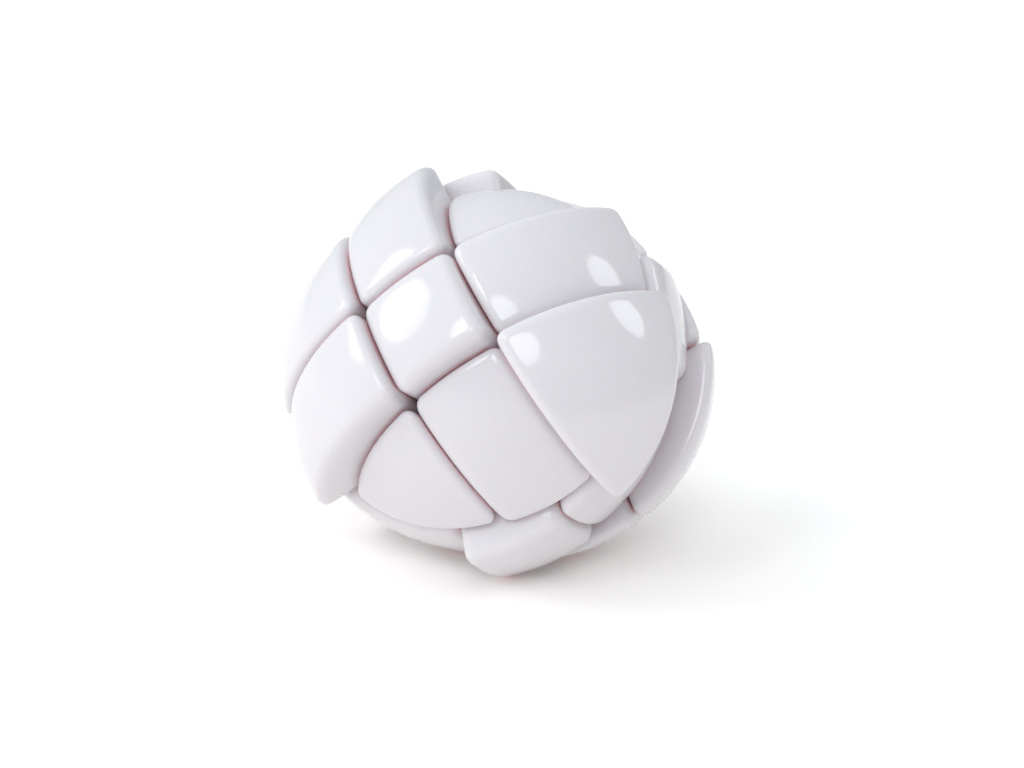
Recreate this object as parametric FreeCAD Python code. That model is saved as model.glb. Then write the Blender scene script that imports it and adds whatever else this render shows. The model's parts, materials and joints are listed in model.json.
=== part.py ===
"""Egg-shaped 3x3x3 twisty puzzle, scrambled, with its layers turned a little out of line.

The mechanism is modelled about its own centre with +X right, +Y up and +Z front, and the
middle slice between the front and back layers lies square to those axes. One placement
then stands the whole puzzle on the surface that it rests on, +Z up, with the origin at
the middle of its bottom. Lengths are millimetres and angles are degrees.
"""
import FreeCAD, Part
import math
import os

from FreeCAD import Placement, Rotation, Vector

# Cuts: every axis has two parallel cuts, and each piece stops half the play short of them.
CUT_SPACING = 19.0
PLAY = 0.5
OUTER_CUT = CUT_SPACING / 2
INNER_CUT = 0.3 * CUT_SPACING
FOOT_RADIUS = 1.15 * CUT_SPACING
FAR = 3 * CUT_SPACING

# Egg: two half ellipsoids that share their widest ring.
EGG_WAIST_RADIUS = 1.80 * CUT_SPACING
EGG_LONG_END = 1.94 * CUT_SPACING
EGG_SHORT_END = 1.89 * CUT_SPACING
EGG_AXIS = Vector(0.913, 0.400, 0.082)
EGG_CENTRE = Vector(0.180, 0.123, 0.052) * CUT_SPACING

# Skins: the rounding of the tiles, their walls, and the pegs that carry them.
TILE_CORNER_RADIUS = 2.2
TILE_EDGE_RADIUS = 1.2
SHELL_WALL = 1.8
CORNER_PEG_RADIUS = 1.9
EDGE_PEG_RADIUS = 3.4
PEG_END = 26.0
PEG_FIT = 0.05
FOOT_ROUNDING = 0.6

# Core, centres, screws and springs, as distances from the middle along each arm.
CORE_BALL_RADIUS = 7.4
ARM_RADIUS = 3.2
ARM_END = 11.5
SCREW_HOLE_START = 5.0
SCREW_HOLE_RADIUS = 1.32
STEM_START = 7.9
STEM_RADIUS = 5.4
STEM_BORE_RADIUS = 3.5
WEB_START = 11.9
WEB_END = 13.7
WEB_HOLE_RADIUS = 1.6
SPRING_POCKET_RADIUS = 3.4
CAP_SEAT = 24.4
CAP_SEAT_LIP = 1.2
SPRING_OUTER_RADIUS = 2.9
SPRING_WIRE_RADIUS = 0.35
SPRING_TURNS = 5
WASHER_START = 19.7
WASHER_THICKNESS = 0.5
WASHER_RADIUS = 3.1
WASHER_HOLE_RADIUS = 1.45
SCREW_TIP = 6.0
SCREW_RADIUS = 1.3
SCREW_HEAD_RADIUS = 2.7
SCREW_HEAD_HEIGHT = 2.0
RECESS_WIDTH = 0.8
RECESS_LENGTH = 3.6
RECESS_DEPTH = 1.0

# Layer turns about the front axis, away from the middle slice.
FRONT_TURN = 17.1
BACK_TURN = 12.5

# How the puzzle stands: it rolls about its front axis, the axis is raised, then swung.
ROLL = 25.144
RISE = 59.884
SWING = -27.693

SIDES = {
    "front": Vector(0, 0, 1),
    "back": Vector(0, 0, -1),
    "up": Vector(0, 1, 0),
    "down": Vector(0, -1, 0),
    "right": Vector(1, 0, 0),
    "left": Vector(-1, 0, 0),
}
BY_INITIAL = {name[0].upper(): direction for name, direction in SIDES.items()}
SPIN_SIDE = {
    "front": "up",
    "back": "up",
    "up": "front",
    "down": "front",
    "right": "up",
    "left": "up",
}

# The scramble: which patch of the egg's skin each place shows, so two places may show the
# same one. The first letter is the side of the solved egg that now faces the first side of
# the place, and the second letter the one that faces the second side. A centre has only one
# side, so its second letter is the solved side that points along its spin side.
SCRAMBLE = {
    "back": "BR",
    "down": "UF",
    "front": "FL",
    "left": "RU",
    "right": "FR",
    "up": "FR",
    "back_down": "RF",
    "back_left": "UR",
    "back_right": "UF",
    "back_up": "LB",
    "down_left": "DR",
    "down_right": "FD",
    "front_down": "LF",
    "front_left": "FR",
    "front_right": "BU",
    "front_up": "BR",
    "up_left": "LU",
    "up_right": "DB",
    "back_down_left": "LF",
    "back_down_right": "RF",
    "back_up_left": "LD",
    "back_up_right": "DR",
    "front_down_left": "LB",
    "front_down_right": "FR",
    "front_up_left": "BU",
    "front_up_right": "DL",
}


def signs(place):
    """Which side of the middle a place lies on, along X, Y and Z."""
    total = Vector()
    for side in place.split("_"):
        total += SIDES[side]
    return tuple(total)


def outward(place):
    """Unit direction from the middle through a place."""
    return Vector(*signs(place)).normalize()


def scramble_turn(place):
    """Rotation that carries a patch of the solved egg to the place that shows it."""
    sides = place.split("_")
    second_side = sides[1] if len(sides) > 1 else SPIN_SIDE[place]
    now = (SIDES[sides[0]], SIDES[second_side])
    solved = tuple(BY_INITIAL[letter] for letter in SCRAMBLE[place])
    return square_turn(*now) * square_turn(*solved).inverted()


def square_turn(first, second):
    """Rotation that takes X and Y to two directions that are square to each other."""
    return Rotation(first, second, first.cross(second), "XYZ")


def turned(shape, rotation):
    """A copy of a shape, turned about the middle of the mechanism."""
    copy = shape.copy()
    copy.Placement = Placement(Vector(), rotation) * copy.Placement
    return copy


def ball(radius):
    """Ball about the middle of the mechanism."""
    return Part.makeSphere(radius)


def rod(radius, start, end, direction):
    """Round bar along a direction, between two distances from the middle."""
    return Part.makeCylinder(radius, end - start, direction * start, direction)


def is_far(edge):
    """Whether an edge lies in one of a block's far faces."""
    start, end = (vertex.Point for vertex in edge.Vertexes)
    return any(
        abs(start[axis]) == FAR and start[axis] == end[axis] for axis in range(3)
    )


def block(place, cut, inset=0.0, rounding=0.0):
    """The space of one place beyond cuts at that depth, with its near edges rounded."""
    near = cut + PLAY / 2 + inset
    half = cut - PLAY / 2 - inset
    reach = {0: (-half, half), 1: (near, FAR), -1: (-FAR, -near)}
    spans = [reach[sign] for sign in signs(place)]
    low = Vector(*[span[0] for span in spans])
    size = [span[1] - span[0] for span in spans]
    box = Part.makeBox(*size, low)
    if not rounding:
        return box
    return box.makeFillet(rounding, [edge for edge in box.Edges if not is_far(edge)])


def quarter_ellipse(tip, waist):
    """Quarter of an ellipse, from its tip on the Z axis to its widest point on X."""
    points = [Vector(0, 0, tip), Vector(waist, 0, 0)]
    long_point, short_point = sorted(points, key=lambda point: -point.Length)
    return Part.Ellipse(long_point, short_point, Vector()).toShape(0, math.pi / 2)


def egg(wall=0.0):
    """The whole solved egg, or the hollow that leaves a wall of that thickness."""
    long_end = EGG_LONG_END - wall
    short_end = EGG_SHORT_END - wall
    waist = EGG_WAIST_RADIUS - wall
    axis_line = Part.makeLine(Vector(0, 0, -short_end), Vector(0, 0, long_end))
    edges = [quarter_ellipse(long_end, waist), quarter_ellipse(-short_end, waist), axis_line]
    profile = Part.Face(Part.Wire(Part.__sortEdges__(edges)))
    solid = profile.revolve(Vector(), Vector(0, 0, 1), 360)
    solid.Placement = Placement(EGG_CENTRE, Rotation(Vector(0, 0, 1), EGG_AXIS))
    return solid


def skin_edges(solid):
    """Edges where the egg's surface meets the sides of a tile."""
    egg_edges = []
    side_edges = []
    for face in solid.Faces:
        is_skin = isinstance(face.Surface, Part.SurfaceOfRevolution)
        (egg_edges if is_skin else side_edges).extend(face.Edges)
    return [edge for edge in egg_edges if any(edge.isSame(side) for side in side_edges)]


def tile(place):
    """The egg's part in one place, from the foot ball out, with soft edges."""
    skin = turned(egg(), scramble_turn(place))
    solid = skin.common(block(place, OUTER_CUT, rounding=TILE_CORNER_RADIUS)).Solids[0]
    solid = solid.makeFillet(TILE_EDGE_RADIUS, skin_edges(solid))
    return solid.cut(ball(FOOT_RADIUS + PLAY / 2))


def hollow(place):
    """The space behind a tile's skin and walls."""
    inside = turned(egg(SHELL_WALL), scramble_turn(place))
    return inside.common(block(place, OUTER_CUT, inset=SHELL_WALL))


def shell(place, peg_radius):
    """Hollow skin of an edge or a corner, with a socket for the peg of its foot."""
    floor = ball(FOOT_RADIUS + PLAY / 2 + SHELL_WALL)
    socket = rod(peg_radius + PEG_FIT, 0, PEG_END, outward(place))
    return tile(place).cut(hollow(place).cut(floor)).cut(socket)


def foot(place, peg_radius):
    """Inner half of an edge or a corner: it reaches under its neighbours and holds the shell."""
    inner = block(place, INNER_CUT, rounding=FOOT_ROUNDING)
    tongue = inner.common(ball(FOOT_RADIUS - PLAY / 2))
    collar = inner.common(block(place, OUTER_CUT)).common(ball(FOOT_RADIUS + PLAY / 2))
    peg = rod(peg_radius, FOOT_RADIUS - PLAY, PEG_END, outward(place))
    return tongue.fuse([collar, peg]).removeSplitter()


def centre_cap(place):
    """Hollow lid of a centre, which hides its screw."""
    lid = tile(place).common(rod(FAR, CAP_SEAT, FAR, outward(place)))
    return lid.cut(hollow(place))


def centre_body(place):
    """A centre's flange, its stem over the core's arm, and the seat of its cap."""
    direction = outward(place)
    flange = block(place, OUTER_CUT, rounding=TILE_CORNER_RADIUS)
    flange = flange.common(rod(FAR, 0, CAP_SEAT, direction)).cut(ball(FOOT_RADIUS + PLAY / 2))
    lip = block(place, OUTER_CUT, inset=SHELL_WALL + PEG_FIT)
    lip = lip.common(rod(FAR, CAP_SEAT, CAP_SEAT + CAP_SEAT_LIP, direction))
    stem = rod(STEM_RADIUS, STEM_START, CAP_SEAT, direction)
    bores = [
        rod(STEM_BORE_RADIUS, 0, WEB_START, direction),
        rod(WEB_HOLE_RADIUS, WEB_START, WEB_END, direction),
        rod(SPRING_POCKET_RADIUS, WEB_END, FAR, direction),
    ]
    return flange.fuse([lip, stem]).cut(bores).removeSplitter()


def core():
    """Six-armed core, drilled for the screws."""
    arms = [rod(ARM_RADIUS, 0, ARM_END, side) for side in SIDES.values()]
    holes = [rod(SCREW_HOLE_RADIUS, SCREW_HOLE_START, FAR, side) for side in SIDES.values()]
    return ball(CORE_BALL_RADIUS).fuse(arms).cut(holes).removeSplitter()


def on_every_arm(shape):
    """Six copies of a shape that is made along +Z, one on each arm of the core."""
    up = Vector(0, 0, 1)
    return Part.makeCompound([turned(shape, Rotation(up, side)) for side in SIDES.values()])


def screws():
    """Screws with cross recesses, which hold the centres on."""
    up = Vector(0, 0, 1)
    head_start = WASHER_START + WASHER_THICKNESS
    head_end = head_start + SCREW_HEAD_HEIGHT
    screw = rod(SCREW_RADIUS, SCREW_TIP, head_start, up)
    screw = screw.fuse(rod(SCREW_HEAD_RADIUS, head_start, head_end, up))
    for length, width in ((RECESS_LENGTH, RECESS_WIDTH), (RECESS_WIDTH, RECESS_LENGTH)):
        low = Vector(-length / 2, -width / 2, head_end - RECESS_DEPTH)
        screw = screw.cut(Part.makeBox(length, width, RECESS_DEPTH, low))
    return on_every_arm(screw)


def washers():
    """Washers between the springs and the screw heads."""
    up = Vector(0, 0, 1)
    washer = rod(WASHER_RADIUS, WASHER_START, WASHER_START + WASHER_THICKNESS, up)
    return on_every_arm(washer.cut(rod(WASHER_HOLE_RADIUS, 0, FAR, up)))


def springs():
    """Coil springs that press the centres towards the core."""
    coil_radius = SPRING_OUTER_RADIUS - SPRING_WIRE_RADIUS
    start = WEB_END + SPRING_WIRE_RADIUS
    height = WASHER_START - SPRING_WIRE_RADIUS - start
    helix = Part.makeHelix(height / SPRING_TURNS, height, coil_radius)
    helix.translate(Vector(0, 0, start))
    section = Part.Circle(Vector(coil_radius, 0, start), Vector(0, 1, 0), SPRING_WIRE_RADIUS)
    coil = Part.Wire(helix.Edges).makePipeShell([Part.Wire(section.toShape())], True, True)
    return on_every_arm(coil)


def layer_turn(place):
    """Turn of the layer that a place belongs to."""
    angle = {"front": FRONT_TURN, "back": BACK_TURN}.get(place.split("_")[0], 0)
    return Rotation(SIDES["front"], angle)


def nodes():
    """Every sub-part by its node's name, in the mechanism's frame."""
    made = {
        "core": core(),
        "centre_screws": screws(),
        "centre_springs": springs(),
        "centre_washers": washers(),
    }
    for place in SCRAMBLE:
        kind = ("centre", "edge", "corner")[place.count("_")]
        if kind == "centre":
            parts = {"body": centre_body(place), "cap": centre_cap(place)}
        else:
            peg_radius = {"edge": EDGE_PEG_RADIUS, "corner": CORNER_PEG_RADIUS}[kind]
            parts = {"foot": foot(place, peg_radius), "shell": shell(place, peg_radius)}
        for part, shape in parts.items():
            made[f"{kind}_{place}_{part}"] = turned(shape, layer_turn(place))
    return made


def stand(made):
    """Turns every sub-part to how the puzzle rests, and puts the origin under its middle."""
    up = Vector(0, 0, 1)
    tilt = Rotation(Vector(1, 0, 0), RISE)
    rotation = Rotation(up, SWING) * tilt * Rotation(up, ROLL)
    standing = {name: turned(shape, rotation) for name, shape in made.items()}
    box = Part.makeCompound(list(standing.values())).optimalBoundingBox(False)
    shift = Vector(-box.Center.x, -box.Center.y, -box.ZMin)
    for shape in standing.values():
        shape.translate(shift)
    print("middle of the core", tuple(round(value, 4) for value in shift))
    print("front axis", tuple(round(value, 6) for value in rotation.multVec(SIDES["front"])))
    print("size", round(box.XLength, 3), round(box.YLength, 3), round(box.ZLength, 3))
    return standing


def main():
    os.makedirs("parts", exist_ok=True)
    for name, shape in stand(nodes()).items():
        shape.exportStep(f"parts/{name}.step")
        print(name, len(shape.Solids), shape.isValid(), round(shape.Volume, 1))


main()
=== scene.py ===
"""Skins, finishes and studio for the egg-shaped 3x3x3 twisty puzzle.

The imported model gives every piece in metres, standing on the floor at Z = 0. The script
models the 26 polished skins afresh, gives every piece its plastic or metal, and sets the
floor, the soft lights and the camera. A skin is shaped about the middle of the mechanism,
with +X right, +Y up and +Z front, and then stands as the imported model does.
"""
import json
import math

import bmesh
import bpy
from bpy.props import FloatProperty, FloatVectorProperty, PointerProperty
from mathutils import Matrix, Quaternion, Vector

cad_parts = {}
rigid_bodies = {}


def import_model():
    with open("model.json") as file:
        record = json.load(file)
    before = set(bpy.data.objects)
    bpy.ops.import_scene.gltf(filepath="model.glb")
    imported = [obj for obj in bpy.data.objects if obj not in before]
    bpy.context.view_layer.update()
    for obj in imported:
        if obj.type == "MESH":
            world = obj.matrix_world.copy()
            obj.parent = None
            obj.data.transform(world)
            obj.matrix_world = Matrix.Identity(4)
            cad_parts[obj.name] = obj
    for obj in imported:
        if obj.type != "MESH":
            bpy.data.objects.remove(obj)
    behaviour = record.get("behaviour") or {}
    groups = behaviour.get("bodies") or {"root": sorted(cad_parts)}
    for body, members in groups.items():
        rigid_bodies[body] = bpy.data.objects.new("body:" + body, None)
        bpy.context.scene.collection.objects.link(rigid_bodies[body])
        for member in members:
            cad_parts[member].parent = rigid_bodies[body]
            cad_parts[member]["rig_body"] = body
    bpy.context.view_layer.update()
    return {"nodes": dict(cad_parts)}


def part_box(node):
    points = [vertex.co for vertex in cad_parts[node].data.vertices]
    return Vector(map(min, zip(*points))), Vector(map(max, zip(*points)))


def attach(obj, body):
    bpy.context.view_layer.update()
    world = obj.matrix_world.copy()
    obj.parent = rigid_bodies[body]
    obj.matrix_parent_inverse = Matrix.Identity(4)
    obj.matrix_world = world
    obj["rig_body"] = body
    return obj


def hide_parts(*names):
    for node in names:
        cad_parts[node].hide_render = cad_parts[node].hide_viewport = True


bl_info = {
    "name": "Egg Twisty Puzzle",
    "version": (1, 0, 0),
    "blender": (4, 5, 0),
    "location": "View3D > Sidebar > Egg Puzzle",
    "description": "Finishes an egg-shaped 3x3x3 twisty puzzle and sets its studio",
    "category": "Object",
}

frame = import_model()

# Mechanism: every axis has two cuts, and each skin stops half the play short of them. The
# underside lies on a ball for edges and corners, and on a flat seat for centres.
CUT = 0.0095
HALF_PLAY = 0.00017
NEAR_WALL = CUT + HALF_PLAY
HALF_WIDTH = CUT - HALF_PLAY
FLOOR_RADIUS = 0.0221
CAP_SEAT = 0.0244

# Egg: two half ellipsoids that share their widest ring.
EGG_WAIST = 0.0342
EGG_LONG_END = 0.03686
EGG_SHORT_END = 0.03591
EGG_AXIS = Vector((0.913, 0.400, 0.082)).normalized()
EGG_CENTRE = Vector((0.00342, 0.002337, 0.000988))

# How the mechanism stands, and how far its outer layers have turned on the front axis.
ROLL = math.radians(25.144)
RISE = math.radians(59.884)
SWING = math.radians(-27.693)
LAYER_TURNS = {"front": math.radians(17.1), "back": math.radians(12.5)}

SIDES = {
    "front": Vector((0, 0, 1)),
    "back": Vector((0, 0, -1)),
    "up": Vector((0, 1, 0)),
    "down": Vector((0, -1, 0)),
    "right": Vector((1, 0, 0)),
    "left": Vector((-1, 0, 0)),
}
BY_INITIAL = {name[0].upper(): direction for name, direction in SIDES.items()}
SPIN_SIDE = {
    "front": "up",
    "back": "up",
    "up": "front",
    "down": "front",
    "right": "up",
    "left": "up",
}

# Which patch of the solved egg's skin each place shows: the sides of the solved egg that
# face the place's first side and its second side, or the spin side of a centre.
SCRAMBLE = {
    "back": "BR",
    "down": "UF",
    "front": "FL",
    "left": "RU",
    "right": "FR",
    "up": "FR",
    "back_down": "RF",
    "back_left": "UR",
    "back_right": "UF",
    "back_up": "LB",
    "down_left": "DR",
    "down_right": "FD",
    "front_down": "LF",
    "front_left": "FR",
    "front_right": "BU",
    "front_up": "BR",
    "up_left": "LU",
    "up_right": "DB",
    "back_down_left": "LF",
    "back_down_right": "RF",
    "back_up_left": "LD",
    "back_up_right": "DR",
    "front_down_left": "LB",
    "front_down_right": "FR",
    "front_up_left": "BU",
    "front_up_right": "DL",
}
KINDS = ("centre", "edge", "corner")

# Grid of a skin: faces from a wall to the middle of the skin, faces down a wall, how
# strongly both crowd towards the rims, how near two points are when they count as one, and
# the angle from which an edge is shaded as a sharp one.
SKIN_STEPS = 16
WALL_STEPS = 14
CROWDING = 1.8
SAME_POINT = 1e-6
SHARP_ANGLE = math.radians(40)

# Rims: the largest cosine between the ways into a wall and into the egg that their rounding
# reckons with, so that it stays steady where the two surfaces nearly run together.
LEAN_LIMIT = 0.8

# Surface patterns: features to the metre, and the noise values between which they fade in.
FLOW_SCALE = 45.0
FLOW_FADE = (0.3, 0.7)
SPECK_SCALE = 2600.0
SPECK_FADE = (0.74, 0.80)
SMEAR_SCALE = 110.0
SMEAR_FADE = (0.35, 0.7)
PEEL_SCALE = 260.0
GRAIN_SCALE = 4200.0
TARNISH_SCALE = 700.0
TARNISH_FADE = (0.45, 0.75)
TARNISH_SHARE = 0.6
SCRATCH_SCALE = 9000.0

# Heights of the bumps, in metres.
INNER_BUMP = 0.00004
METAL_BUMP = 0.000004
CARD_BUMP = 0.00002

# Painted gap shade: rays that feel for neighbouring skins, and the open shares between which the
# painted warm shade fades out.
PAINTED_SHADE_RAYS = 8
PAINTED_SHADE_FADE = (0.05, 0.42)

# Camera: a long lens from in front and a little above, rolled by a hair.
CAMERA_PLACE = (0.00181, -0.37100, 0.15246)
CAMERA_AIM = (0.00238, 0.00144, 0.03231)
CAMERA_ROLL = math.radians(0.286)
CAMERA_LENS = 76.08
CAMERA_SENSOR = 36.0
CAMERA_NEAR = 0.01

# Softboxes, by the bearing and the height that they are seen at from the puzzle. Bearing 0
# is the camera's side, and it grows towards the right. All angles are in degrees.
LIGHT_DISTANCE = 6.0
LIGHT_AIM = Vector((0.0, 0.0, 0.035))
SOFTBOX_COLOUR = (0.945, 1.0, 1.035)
SOFTBOXES = {
    "left_softbox": {"bearing": -91, "height": 31, "wide": 30, "tall": 30, "radiance": 3.3},
    "front_softbox": {"bearing": -4, "height": 38, "wide": 22, "tall": 22, "radiance": 4.6},
    "near_left_softbox": {"bearing": -41, "height": 40, "wide": 16, "tall": 20, "radiance": 5.2},
    "right_softbox": {"bearing": 88, "height": 37, "wide": 16, "tall": 22, "radiance": 4.4},
}

# Room and floor: the unit direction that the room is brightest in, and the floor's faces
# along a side.
BRIGHT_SIDE = (-0.8, 0.0, 0.6)
FLOOR_PARTS = 8


def surface_coordinates(tree):
    """Object coordinates, in metres."""
    return tree.nodes.new("ShaderNodeTexCoord").outputs["Object"]


def noise(tree, coordinates, scale, detail, roughness=0.5):
    """Value of a noise texture with that many features to the metre."""
    node = tree.nodes.new("ShaderNodeTexNoise")
    node.inputs["Detail"].default_value = detail
    node.inputs["Roughness"].default_value = roughness
    tree.links.new(coordinates, node.inputs["Vector"])
    feed(tree, scale, node.inputs["Scale"])
    return node.outputs["Fac"]


def feed(tree, value, socket):
    """Puts a number, a colour or another node's output into a socket."""
    if isinstance(value, bpy.types.NodeSocket):
        tree.links.new(value, socket)
    else:
        socket.default_value = value


def math_node(tree, operation, first, second):
    """Result of one arithmetic step."""
    node = tree.nodes.new("ShaderNodeMath")
    node.operation = operation
    feed(tree, first, node.inputs[0])
    feed(tree, second, node.inputs[1])
    return node.outputs[0]


def spread(tree, value, from_low, from_high, to_low, to_high):
    """Value carried from one range to another, and held inside it."""
    node = tree.nodes.new("ShaderNodeMapRange")
    for name, number in (
        ("Value", value),
        ("From Min", from_low),
        ("From Max", from_high),
        ("To Min", to_low),
        ("To Max", to_high),
    ):
        feed(tree, number, node.inputs[name])
    return node.outputs["Result"]


def mixed_colour(tree, share, first, second):
    """Blend of two colours."""
    node = tree.nodes.new("ShaderNodeMix")
    node.data_type = "RGBA"
    feed(tree, share, node.inputs["Factor"])
    feed(tree, first, node.inputs["A"])
    feed(tree, second, node.inputs["B"])
    return node.outputs["Result"]


def new_group(name, inputs, outputs):
    """Empty shader group with those sockets, and its tree and its two end nodes."""
    tree = bpy.data.node_groups.new(name, "ShaderNodeTree")
    for socket, kind, default in inputs:
        item = tree.interface.new_socket(socket, in_out="INPUT", socket_type=kind)
        item.default_value = default
    for socket, kind in outputs:
        tree.interface.new_socket(socket, in_out="OUTPUT", socket_type=kind)
    return tree, tree.nodes.new("NodeGroupInput").outputs, tree.nodes.new("NodeGroupOutput").inputs


def moulded_group():
    """Moulded plastic: flow-shaded colour, handled sheen, orange peel and fine specks."""
    name = "Moulded plastic"
    if name in bpy.data.node_groups:
        return bpy.data.node_groups[name]
    tree, given, made = new_group(
        name,
        [
            ("Colour", "NodeSocketColor", (0.8, 0.8, 0.8, 1.0)),
            ("Flow Colour", "NodeSocketColor", (0.8, 0.8, 0.8, 1.0)),
            ("Speck Colour", "NodeSocketColor", (0.5, 0.5, 0.5, 1.0)),
            ("Speck Share", "NodeSocketFloat", 0.3),
            ("Roughness", "NodeSocketFloat", 0.2),
            ("Roughness Spread", "NodeSocketFloat", 0.1),
            ("Peel", "NodeSocketFloat", 0.5),
            ("Grain", "NodeSocketFloat", 0.1),
        ],
        [
            ("Colour", "NodeSocketColor"),
            ("Roughness", "NodeSocketFloat"),
            ("Height", "NodeSocketFloat"),
        ],
    )
    place = surface_coordinates(tree)
    flow = noise(tree, place, FLOW_SCALE, detail=2.0)
    flow = spread(tree, flow, *FLOW_FADE, 0.0, 1.0)
    colour = mixed_colour(tree, flow, given["Colour"], given["Flow Colour"])
    speck = noise(tree, place, SPECK_SCALE, detail=1.0)
    speck = spread(tree, speck, *SPECK_FADE, 0.0, 1.0)
    speck_share = math_node(tree, "MULTIPLY", speck, given["Speck Share"])
    colour = mixed_colour(tree, speck_share, colour, given["Speck Colour"])
    smears = noise(tree, place, SMEAR_SCALE, detail=5.0, roughness=0.6)
    smears = spread(tree, smears, *SMEAR_FADE, 0.0, 1.0)
    wear = math_node(tree, "MULTIPLY", smears, given["Roughness Spread"])
    peel = noise(tree, place, PEEL_SCALE, detail=2.0)
    peel = math_node(tree, "MULTIPLY", peel, given["Peel"])
    grain = noise(tree, place, GRAIN_SCALE, detail=2.0)
    grain = math_node(tree, "MULTIPLY", grain, given["Grain"])
    tree.links.new(colour, made["Colour"])
    tree.links.new(math_node(tree, "ADD", given["Roughness"], wear), made["Roughness"])
    tree.links.new(math_node(tree, "ADD", peel, grain), made["Height"])
    return tree


def metal_group():
    """Drawn or plated metal: fine scratches and a tarnish that gathers in patches."""
    name = "Worked metal"
    if name in bpy.data.node_groups:
        return bpy.data.node_groups[name]
    tree, given, made = new_group(
        name,
        [
            ("Colour", "NodeSocketColor", (0.7, 0.7, 0.7, 1.0)),
            ("Tarnish", "NodeSocketColor", (0.4, 0.4, 0.4, 1.0)),
            ("Roughness", "NodeSocketFloat", 0.2),
            ("Scratches", "NodeSocketFloat", 0.2),
        ],
        [
            ("Colour", "NodeSocketColor"),
            ("Roughness", "NodeSocketFloat"),
            ("Height", "NodeSocketFloat"),
        ],
    )
    place = surface_coordinates(tree)
    patches = noise(tree, place, TARNISH_SCALE, detail=4.0)
    patches = spread(tree, patches, *TARNISH_FADE, 0.0, TARNISH_SHARE)
    scratches = noise(tree, place, SCRATCH_SCALE, detail=3.0, roughness=0.7)
    roughness = math_node(tree, "MULTIPLY", scratches, given["Scratches"])
    tree.links.new(mixed_colour(tree, patches, given["Colour"], given["Tarnish"]), made["Colour"])
    tree.links.new(math_node(tree, "ADD", given["Roughness"], roughness), made["Roughness"])
    tree.links.new(scratches, made["Height"])
    return tree


def detailed_material(name, group, values, bump_distance, fixed):
    """Material whose colour, roughness and bump come from a group; fixed values go on the shader."""
    material = bpy.data.materials.new(name)
    material.use_nodes = True
    tree = material.node_tree
    shader = tree.nodes["Principled BSDF"]
    detail = tree.nodes.new("ShaderNodeGroup")
    detail.node_tree = group
    for socket, value in values.items():
        detail.inputs[socket].default_value = value
    for socket, value in fixed.items():
        shader.inputs[socket].default_value = value
    bump = tree.nodes.new("ShaderNodeBump")
    bump.inputs["Strength"].default_value = 1.0
    bump.inputs["Distance"].default_value = bump_distance
    tree.links.new(detail.outputs["Height"], bump.inputs["Height"])
    tree.links.new(detail.outputs["Colour"], shader.inputs["Base Color"])
    tree.links.new(detail.outputs["Roughness"], shader.inputs["Roughness"])
    tree.links.new(bump.outputs["Normal"], shader.inputs["Normal"])
    return material


def rgba(colour, factor=1.0):
    """Colour with full alpha, made lighter or darker."""
    return (*[channel * factor for channel in colour], 1.0)


def finish_nodes(names, material):
    """Gives CAD pieces their material."""
    for name in names:
        slots = frame["nodes"][name].material_slots
        if not slots:
            raise RuntimeError(f"{name} has no material slot")
        for slot in slots:
            slot.material = material


def nodes_ending(*endings):
    """Names of the CAD pieces that end in one of those words."""
    return [name for name in sorted(frame["nodes"]) if name.endswith(endings)]


def patch_turn(place):
    """Rotation that carries a patch of the solved egg to the place that shows it."""
    sides = place.split("_")
    second_side = sides[1] if len(sides) > 1 else SPIN_SIDE[place]
    now = square_turn(SIDES[sides[0]], SIDES[second_side])
    solved = square_turn(*(BY_INITIAL[letter] for letter in SCRAMBLE[place]))
    return now @ solved.transposed()


def square_turn(first, second):
    """Rotation that takes X and Y to two directions that are square to each other."""
    return Matrix((first, second, first.cross(second))).transposed()


def standing(place):
    """Where a place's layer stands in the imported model."""
    low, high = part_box("core")
    spin = LAYER_TURNS.get(place.split("_")[0], 0.0)
    stand = Matrix.Rotation(SWING, 4, "Z") @ Matrix.Rotation(RISE, 4, "X")
    return Matrix.Translation((low + high) / 2) @ stand @ Matrix.Rotation(ROLL + spin, 4, "Z")


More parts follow.
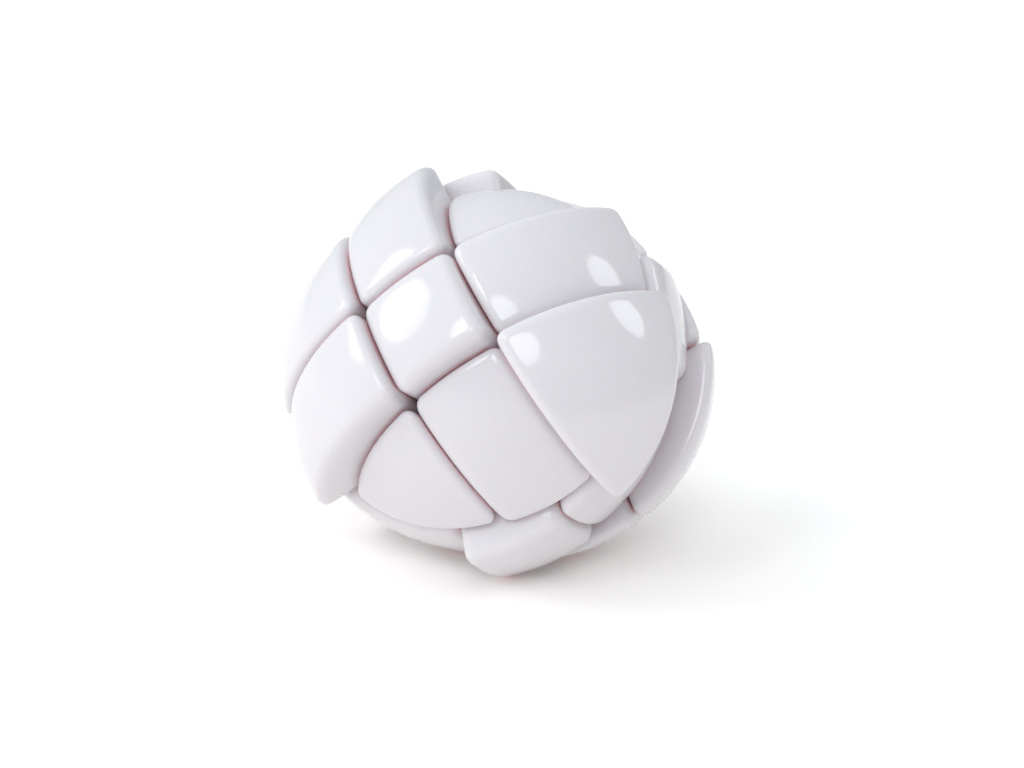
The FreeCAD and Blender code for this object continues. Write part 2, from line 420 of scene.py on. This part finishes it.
class Tile:
    """The shape of one place's skin: block walls, egg patch, rounded corners and rim."""

    def __init__(self, place, corner_radius, rim_radius):
        self.signs = sum((SIDES[side] for side in place.split("_")), Vector((0, 0, 0)))
        self.outward = [axis for axis in range(3) if self.signs[axis]]
        turn = patch_turn(place)
        self.egg_centre = turn @ EGG_CENTRE
        self.egg_axis = turn @ EGG_AXIS
        self.corner_radius = corner_radius
        self.rim_radius = rim_radius

    def egg_end(self, height):
        """Length of the half ellipsoid on that side of the egg's widest ring."""
        return EGG_LONG_END if height >= 0 else EGG_SHORT_END

    def egg_hit(self, start, direction):
        """Distance along a ray from inside the egg to its surface."""
        offset = start - self.egg_centre
        height = offset.dot(self.egg_axis)
        climb = direction.dot(self.egg_axis)
        for end in (EGG_LONG_END, EGG_SHORT_END):
            second = (1 - climb**2) / EGG_WAIST**2 + climb**2 / end**2
            first = (offset.dot(direction) - height * climb) / EGG_WAIST**2
            first += height * climb / end**2
            constant = (offset.length_squared - height**2) / EGG_WAIST**2 + height**2 / end**2 - 1
            distance = (math.sqrt(first**2 - second * constant) - first) / second
            if self.egg_end(height + climb * distance) == end:
                break
        return distance

    def egg_depth(self, point):
        """How deep a point lies under the egg's surface, and the direction inwards."""
        offset = point - self.egg_centre
        height = offset.dot(self.egg_axis)
        end = self.egg_end(height)
        level = (offset - height * self.egg_axis) / EGG_WAIST**2 + height * self.egg_axis / end**2
        reach = math.sqrt(offset.dot(level))
        slope = level / reach
        return (1 - reach) / slope.length, -slope.normalized()

    def floor_hit(self, start, direction):
        """Distance along a ray to the underside of the skin."""
        if len(self.outward) == 1:
            return CAP_SEAT - start.dot(direction)
        along = start.dot(direction)
        return math.sqrt(along**2 - start.length_squared + FLOOR_RADIUS**2) - along

    def walls(self, point):
        """Distance from every wall, and the direction from the wall inwards."""
        found = []
        for axis in range(3):
            inwards = Vector((0, 0, 0))
            if self.signs[axis]:
                if len(self.outward) == 1:
                    continue
                inwards[axis] = self.signs[axis]
                distance = point[axis] * self.signs[axis] - NEAR_WALL
            else:
                inwards[axis] = -1 if point[axis] > 0 else 1
                distance = HALF_WIDTH - abs(point[axis])
            found.append((distance, inwards))
        return sorted(found, key=lambda wall: wall[0])

    def rounded_corner(self, point):
        """Shift that carries a point from the sharp corner of two walls to the round one."""
        (near, near_in), (far, far_in) = self.walls(point)[:2]
        radius = self.corner_radius
        if far >= radius:
            return Vector((0, 0, 0))
        share = 1 - (radius - near) / math.hypot(radius - near, radius - far)
        return near_in * (radius - near) * share + far_in * (radius - far) * share

    def wall_depth(self, point):
        """How far a point lies inside the rounded walls, and the direction inwards."""
        (near, near_in), (far, far_in) = self.walls(point)[:2]
        radius = self.corner_radius
        if far >= radius:
            return near, near_in
        inwards = near_in * (radius - near) + far_in * (radius - far)
        return radius - inwards.length, inwards.normalized()

    def rounded_rim(self, point):
        """Shift that rounds the rim between the walls and the egg's surface."""
        wall, wall_in = self.wall_depth(point)
        skin, skin_in = self.egg_depth(point)
        radius = self.rim_radius
        if wall >= radius or skin >= radius:
            return Vector((0, 0, 0))
        share = 1 - (radius - min(wall, skin)) / math.hypot(radius - wall, radius - skin)
        wall_step = (radius - wall) * share
        skin_step = (radius - skin) * share
        lean = max(-LEAN_LIMIT, min(LEAN_LIMIT, wall_in.dot(skin_in)))
        from_wall = (wall_step - lean * skin_step) / (1 - lean**2)
        from_skin = (skin_step - lean * wall_step) / (1 - lean**2)
        return wall_in * from_wall + skin_in * from_skin

    def point(self, grid):
        """Place of a grid point. Outward coordinates run from 0 at a wall to a far side that
        is 1 on the underside and 2 on the skin; the others run from -1 to 1."""
        reach = max(abs(grid[axis]) for axis in self.outward)
        start = Vector((0, 0, 0))
        direction = Vector((0, 0, 0))
        for axis in range(3):
            if self.signs[axis]:
                start[axis] = self.signs[axis] * NEAR_WALL
                angle = math.pi / 4 * (abs(grid[axis]) / reach) ** CROWDING
                direction[axis] = self.signs[axis] * math.tan(angle)
            else:
                width = 1 - (1 - abs(grid[axis])) ** CROWDING
                start[axis] = math.copysign(HALF_WIDTH * width, grid[axis])
        if len(self.outward) == 1:
            start[self.outward[0]] = 0.0
        direction.normalize()
        sunk = (2 - reach) ** CROWDING
        point = self.on_ray(start, direction, sunk)
        point = self.on_ray(start + self.rounded_corner(point), direction, sunk)
        return point + self.rounded_rim(point)

    def on_ray(self, start, direction, sunk):
        """Point of a ray that lies that share of the way from the skin to the underside."""
        top = self.egg_hit(start, direction)
        bottom = self.floor_hit(start, direction)
        return start + direction * (top + (bottom - top) * sunk)


def tile_grid(bm, tile):
    """Closed slab of quads: the far sides of a unit cube that face outwards, made thick."""
    for axis in tile.outward:
        others = [other for other in range(3) if other != axis]
        counts = [SKIN_STEPS * (1 if tile.signs[other] else 2) for other in others]
        made = bmesh.ops.create_grid(bm, x_segments=counts[0], y_segments=counts[1], size=1.0)
        for vert in made["verts"]:
            place = [0.0, 0.0, 0.0]
            place[axis] = 1.0
            for other, value in zip(others, vert.co.xy):
                place[other] = (value + 1) / 2 if tile.signs[other] else value
            vert.co = place
    bmesh.ops.remove_doubles(bm, verts=bm.verts[:], dist=SAME_POINT)
    made = bmesh.ops.extrude_face_region(bm, geom=bm.faces[:], use_keep_orig=True)
    skin = {item for item in made["geom"] if isinstance(item, bmesh.types.BMVert)}
    size = [2.0 if sign else 1.0 for sign in tile.signs]
    bmesh.ops.scale(bm, vec=size, verts=list(skin))
    upright = [edge for edge in bm.edges if (edge.verts[0] in skin) != (edge.verts[1] in skin)]
    bmesh.ops.subdivide_edges(bm, edges=upright, cuts=WALL_STEPS - 1)
    bmesh.ops.recalc_face_normals(bm, faces=bm.faces[:])


def make_skin(place, node, settings, material):
    """Polished skin of one place, which stands for its CAD node."""
    tile = Tile(place, settings.corner_rounding, settings.rim_rounding)
    bm = bmesh.new()
    tile_grid(bm, tile)
    for vert in bm.verts:
        vert.co = tile.point(vert.co)
    bmesh.ops.transform(bm, matrix=standing(place), verts=bm.verts[:])
    bmesh.ops.recalc_face_normals(bm, faces=bm.faces[:])
    for face in bm.faces:
        face.smooth = True
    for edge in bm.edges:
        edge.smooth = edge.calc_face_angle() < SHARP_ANGLE
    mesh = bpy.data.meshes.new(f"skin_{place}")
    bm.to_mesh(mesh)
    bm.free()
    mesh.materials.append(material)
    skin = bpy.data.objects.new(f"skin_{place}", mesh)
    bpy.context.scene.collection.objects.link(skin)
    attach(skin, frame["nodes"][node]["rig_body"])
    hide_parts(node)


class SkinSettings(bpy.types.PropertyGroup):
    corner_rounding: FloatProperty(
        name="Corner Rounding",
        description="Radius between two walls of a skin",
        unit="LENGTH",
        precision=5,
        min=0.0005,
        max=0.004,
        default=0.0022,
    )
    rim_rounding: FloatProperty(
        name="Rim Rounding",
        description="Radius between a skin's surface and its walls",
        unit="LENGTH",
        precision=5,
        min=0.0003,
        max=0.0022,
        default=0.0020,
    )
    colour: FloatVectorProperty(
        name="Colour",
        description="White of the glossy skins",
        subtype="COLOR",
        size=3,
        min=0.0,
        max=1.0,
        default=(0.67, 0.638, 0.658),
    )
    # Painted gap shade: a warm colour painted into the skins where they stand close together. It
    # stands in for the shade in the gaps, not for a tone of the plastic.
    painted_gap_shade_colour: FloatVectorProperty(
        name="Gap Colour",
        description="Warmer tone of the plastic inside the gaps",
        subtype="COLOR",
        size=3,
        min=0.0,
        max=1.0,
        default=(0.95, 0.70, 0.73),
    )
    # How far apart skins may stand and still get the painted gap shade.
    painted_gap_shade_reach: FloatProperty(
        name="Gap Reach",
        description="How far apart skins may stand and still tint each other",
        unit="LENGTH",
        precision=4,
        min=0.0,
        default=0.003,
    )
    roughness: FloatProperty(
        name="Roughness",
        description="Roughness of a clean skin",
        subtype="FACTOR",
        min=0.0,
        max=1.0,
        default=0.08,
    )
    peel_height: FloatProperty(
        name="Peel Height",
        description="Height of the waves in the moulded surface",
        unit="LENGTH",
        precision=6,
        min=0.0,
        default=0.00002,
    )


class InnerSettings(bpy.types.PropertyGroup):
    foot_colour: FloatVectorProperty(
        name="Foot Colour",
        description="Colour of the feet and of the centres' flanges",
        subtype="COLOR",
        size=3,
        min=0.0,
        max=1.0,
        default=(0.42, 0.20, 0.20),
    )
    core_colour: FloatVectorProperty(
        name="Core Colour",
        description="Colour of the six-armed core",
        subtype="COLOR",
        size=3,
        min=0.0,
        max=1.0,
        default=(0.45, 0.42, 0.41),
    )


class MetalSettings(bpy.types.PropertyGroup):
    screw_colour: FloatVectorProperty(
        name="Screw Colour",
        description="Colour of the plated screws and washers",
        subtype="COLOR",
        size=3,
        min=0.0,
        max=1.0,
        default=(0.66, 0.66, 0.69),
    )
    spring_colour: FloatVectorProperty(
        name="Spring Colour",
        description="Colour of the spring wire",
        subtype="COLOR",
        size=3,
        min=0.0,
        max=1.0,
        default=(0.45, 0.45, 0.47),
    )


class StudioSettings(bpy.types.PropertyGroup):
    floor_colour: FloatVectorProperty(
        name="Floor Colour",
        description="White of the floor",
        subtype="COLOR",
        size=3,
        min=0.0,
        max=1.0,
        default=(0.98, 0.94, 0.915),
    )
    floor_size: FloatProperty(
        name="Floor Size",
        description="Length of one side of the floor",
        unit="LENGTH",
        min=1.0,
        default=12.0,
    )
    floor_glow: FloatProperty(
        name="Floor Glow",
        description="Light that comes through the white floor from below",
        min=0.0,
        default=0.08,
    )
    room_colour: FloatVectorProperty(
        name="Room Colour",
        description="Colour of the white room's light",
        subtype="COLOR",
        size=3,
        min=0.0,
        max=2.0,
        default=(0.945, 1.0, 1.035),
    )
    bright_side: FloatProperty(
        name="Bright Side",
        description="Brightness of the white room high up on the left",
        min=0.0,
        default=1.06,
    )
    dark_side: FloatProperty(
        name="Dark Side",
        description="Brightness of the white room low down on the right",
        min=0.0,
        default=0.22,
    )


def skin_material(settings):
    """Polished white plastic, made once."""
    name = "Polished white plastic"
    if name in bpy.data.materials:
        return bpy.data.materials[name]
    material = detailed_material(
        name,
        moulded_group(),
        {
            "Colour": rgba(settings.colour),
            "Flow Colour": rgba(settings.colour, 0.985),
            "Speck Colour": rgba(settings.colour, 0.75),
            "Speck Share": 0.25,
            "Roughness": settings.roughness,
            "Roughness Spread": 0.05,
            "Peel": 1.0,
            "Grain": 0.02,
        },
        settings.peel_height,
        {
            "IOR": 1.5,
            "Subsurface Weight": 0.5,
            "Subsurface Radius": (1.0, 0.7, 0.7),
            "Subsurface Scale": 0.0015,
        },
    )
    # Paints a warm gap shade into the skin's colour where skins stand close.
    paint_gap_shade(material, settings)
    return material


def paint_gap_shade(material, settings):
    """Paints a warm shade into the plastic's colour where skins stand close together: painted shade
    of the gaps between pieces.
    """
    tree = material.node_tree
    base = tree.nodes["Principled BSDF"].inputs["Base Color"]
    surface = base.links[0].from_socket
    shelter = tree.nodes.new("ShaderNodeAmbientOcclusion")
    shelter.samples = PAINTED_SHADE_RAYS
    shelter.inputs["Distance"].default_value = settings.painted_gap_shade_reach
    painted_shade_share = spread(tree, shelter.outputs["AO"], *PAINTED_SHADE_FADE, 1.0, 0.0)
    # Painted gap shade: the warm colour is mixed into the skin's own colour wherever the occlusion
    # finds near neighbours.
    tree.links.new(mixed_colour(tree, painted_shade_share, surface, rgba(settings.painted_gap_shade_colour)), base)


def make_skins(context, kind):
    """Models the skins of all centres, all edges or all corners."""
    settings = context.scene.egg_puzzle_skin
    material = skin_material(settings)
    part = "cap" if kind == "centre" else "shell"
    for place in SCRAMBLE:
        if KINDS[place.count("_")] == kind:
            make_skin(place, f"{kind}_{place}_{part}", settings, material)


class EGGPUZZLE_OT_centre_skins(bpy.types.Operator):
    """Models the six centres' skins"""

    bl_idname = "egg_puzzle.centre_skins"
    bl_label = "Model Centre Skins"

    def execute(self, context):
        make_skins(context, "centre")
        return {"FINISHED"}


class EGGPUZZLE_OT_edge_skins(bpy.types.Operator):
    """Models the twelve edges' skins"""

    bl_idname = "egg_puzzle.edge_skins"
    bl_label = "Model Edge Skins"

    def execute(self, context):
        make_skins(context, "edge")
        return {"FINISHED"}


class EGGPUZZLE_OT_corner_skins(bpy.types.Operator):
    """Models the eight corners' skins"""

    bl_idname = "egg_puzzle.corner_skins"
    bl_label = "Model Corner Skins"

    def execute(self, context):
        make_skins(context, "corner")
        return {"FINISHED"}


class EGGPUZZLE_OT_inner_pieces(bpy.types.Operator):
    """Gives the feet, the centres' bodies and the core their plain plastics"""

    bl_idname = "egg_puzzle.inner_pieces"
    bl_label = "Finish Inner Pieces"

    def execute(self, context):
        settings = context.scene.egg_puzzle_inner
        finishes = (
            ("Matte foot plastic", settings.foot_colour, nodes_ending("_foot", "_body")),
            ("Matte core plastic", settings.core_colour, ["core"]),
        )
        for name, colour, nodes in finishes:
            material = detailed_material(
                name,
                moulded_group(),
                {
                    "Colour": rgba(colour),
                    "Flow Colour": rgba(colour, 0.9),
                    "Speck Colour": rgba(colour, 0.6),
                    "Speck Share": 0.5,
                    "Roughness": 0.5,
                    "Roughness Spread": 0.2,
                    "Peel": 0.5,
                    "Grain": 0.5,
                },
                INNER_BUMP,
                {"IOR": 1.5},
            )
            finish_nodes(nodes, material)
        return {"FINISHED"}


class EGGPUZZLE_OT_metal_pieces(bpy.types.Operator):
    """Gives the screws, washers and springs their metals"""

    bl_idname = "egg_puzzle.metal_pieces"
    bl_label = "Finish Metal Pieces"

    def execute(self, context):
        settings = context.scene.egg_puzzle_metal
        finishes = (
            ("Plated steel", settings.screw_colour, 0.12, ["centre_screws", "centre_washers"]),
            ("Spring wire", settings.spring_colour, 0.28, ["centre_springs"]),
        )
        for name, colour, roughness, nodes in finishes:
            material = detailed_material(
                name,
                metal_group(),
                {
                    "Colour": rgba(colour),
                    "Tarnish": rgba(colour, 0.6),
                    "Roughness": roughness,
                    "Scratches": 0.15,
                },
                METAL_BUMP,
                {"Metallic": 1.0},
            )
            finish_nodes(nodes, material)
        return {"FINISHED"}


class EGGPUZZLE_OT_studio(bpy.types.Operator):
    """Sets the white floor, the white room, the softboxes and the camera"""

    bl_idname = "egg_puzzle.studio"
    bl_label = "Set Up Studio"

    def execute(self, context):
        settings = context.scene.egg_puzzle_studio
        make_floor(settings)
        make_room(context.scene, settings)
        for name, box in SOFTBOXES.items():
            make_softbox(name, **box)
        make_camera(context.scene)
        context.scene.view_settings.view_transform = "Standard"
        return {"FINISHED"}


def make_floor(settings):
    """White matte floor at Z = 0."""
    bm = bmesh.new()
    half = settings.floor_size / 2
    bmesh.ops.create_grid(bm, x_segments=FLOOR_PARTS, y_segments=FLOOR_PARTS, size=half)
    mesh = bpy.data.meshes.new("studio_floor")
    bm.to_mesh(mesh)
    bm.free()
    floor = bpy.data.objects.new("studio_floor", mesh)
    bpy.context.scene.collection.objects.link(floor)
    material = detailed_material(
        "Matte white card",
        moulded_group(),
        {
            "Colour": rgba(settings.floor_colour),
            "Flow Colour": rgba(settings.floor_colour),
            "Speck Colour": rgba(settings.floor_colour, 0.99),
            "Speck Share": 0.2,
            "Roughness": 0.7,
            "Roughness Spread": 0.05,
            "Peel": 0.0,
            "Grain": 0.2,
        },
        CARD_BUMP,
        {
            "Specular IOR Level": 0.2,
            "Emission Color": rgba(settings.floor_colour),
            "Emission Strength": settings.floor_glow,
        },
    )
    mesh.materials.append(material)


def make_room(scene, settings):
    """White surroundings, brightest high up on the left and dimmest low down on the right."""
    world = bpy.data.worlds.new("White room")
    world.use_nodes = True
    background = world.node_tree.nodes["Background"]
    background.inputs["Color"].default_value = rgba(settings.room_colour)
    direction = world.node_tree.nodes.new("ShaderNodeTexCoord").outputs["Generated"]
    facing = world.node_tree.nodes.new("ShaderNodeVectorMath")
    facing.operation = "DOT_PRODUCT"
    facing.inputs[1].default_value = BRIGHT_SIDE
    world.node_tree.links.new(direction, facing.inputs[0])
    light = spread(
        world.node_tree,
        facing.outputs["Value"],
        -1.0,
        1.0,
        settings.dark_side,
        settings.bright_side,
    )
    world.node_tree.links.new(light, background.inputs["Strength"])
    scene.world = world


def make_softbox(name, bearing, height, wide, tall, radiance):
    """Oval softbox of that brightness, as wide and tall as the angles that it is seen under."""
    bearing, height = math.radians(bearing), math.radians(height)
    towards = Vector((
        math.sin(bearing) * math.cos(height),
        -math.cos(bearing) * math.cos(height),
        math.sin(height),
    ))
    light = bpy.data.lights.new(name, "AREA")
    light.shape = "ELLIPSE"
    light.size = 2 * LIGHT_DISTANCE * math.tan(math.radians(wide) / 2)
    light.size_y = 2 * LIGHT_DISTANCE * math.tan(math.radians(tall) / 2)
    area = math.pi * light.size * light.size_y / 4
    light.energy = radiance * math.pi * area
    light.color = SOFTBOX_COLOUR
    lamp = bpy.data.objects.new(name, light)
    lamp.location = LIGHT_AIM + towards * LIGHT_DISTANCE
    lamp.rotation_euler = towards.to_track_quat("Z", "Y").to_euler()
    bpy.context.scene.collection.objects.link(lamp)


def make_camera(scene):
    """Camera that sees the puzzle from in front and a little above."""
    data = bpy.data.cameras.new("camera")
    data.lens = CAMERA_LENS
    data.sensor_width = CAMERA_SENSOR
    data.clip_start = CAMERA_NEAR
    camera = bpy.data.objects.new("camera", data)
    line = Vector(CAMERA_AIM) - Vector(CAMERA_PLACE)
    turn = line.to_track_quat("-Z", "Y") @ Quaternion((0, 0, 1), CAMERA_ROLL)
    camera.location = CAMERA_PLACE
    camera.rotation_euler = turn.to_euler()
    scene.collection.objects.link(camera)
    scene.camera = camera


class EGGPUZZLE_PT_panel(bpy.types.Panel):
    """Lists the puzzle's finishes and its studio"""

    bl_idname = "EGGPUZZLE_PT_panel"
    bl_label = "Egg Puzzle"
    bl_space_type = "VIEW_3D"
    bl_region_type = "UI"
    bl_category = "Egg Puzzle"

    def draw(self, context):
        for setting, operators in PANEL_ROWS:
            column = self.layout.column(align=True)
            group = getattr(context.scene, setting)
            for name in group.bl_rna.properties.keys():
                if name not in ("rna_type", "name"):
                    column.prop(group, name)
            for operator in operators:
                column.operator(operator)


SETTINGS = {
    "egg_puzzle_skin": SkinSettings,
    "egg_puzzle_inner": InnerSettings,
    "egg_puzzle_metal": MetalSettings,
    "egg_puzzle_studio": StudioSettings,
}
PANEL_ROWS = (
    (
        "egg_puzzle_skin",
        [
            EGGPUZZLE_OT_centre_skins.bl_idname,
            EGGPUZZLE_OT_edge_skins.bl_idname,
            EGGPUZZLE_OT_corner_skins.bl_idname,
        ],
    ),
    ("egg_puzzle_inner", [EGGPUZZLE_OT_inner_pieces.bl_idname]),
    ("egg_puzzle_metal", [EGGPUZZLE_OT_metal_pieces.bl_idname]),
    ("egg_puzzle_studio", [EGGPUZZLE_OT_studio.bl_idname]),
)
CLASSES = (
    *SETTINGS.values(),
    EGGPUZZLE_OT_centre_skins,
    EGGPUZZLE_OT_edge_skins,
    EGGPUZZLE_OT_corner_skins,
    EGGPUZZLE_OT_inner_pieces,
    EGGPUZZLE_OT_metal_pieces,
    EGGPUZZLE_OT_studio,
    EGGPUZZLE_PT_panel,
)


def register():
    for item in CLASSES:
        bpy.utils.register_class(item)
    for name, group in SETTINGS.items():
        setattr(bpy.types.Scene, name, PointerProperty(type=group))


def unregister():
    for name in SETTINGS:
        delattr(bpy.types.Scene, name)
    for item in reversed(CLASSES):
        bpy.utils.unregister_class(item)


def main():
    register()
    bpy.ops.egg_puzzle.centre_skins()
    bpy.ops.egg_puzzle.edge_skins()
    bpy.ops.egg_puzzle.corner_skins()
    bpy.ops.egg_puzzle.inner_pieces()
    bpy.ops.egg_puzzle.metal_pieces()
    bpy.ops.egg_puzzle.studio()


if __name__ == "__main__":
    main()
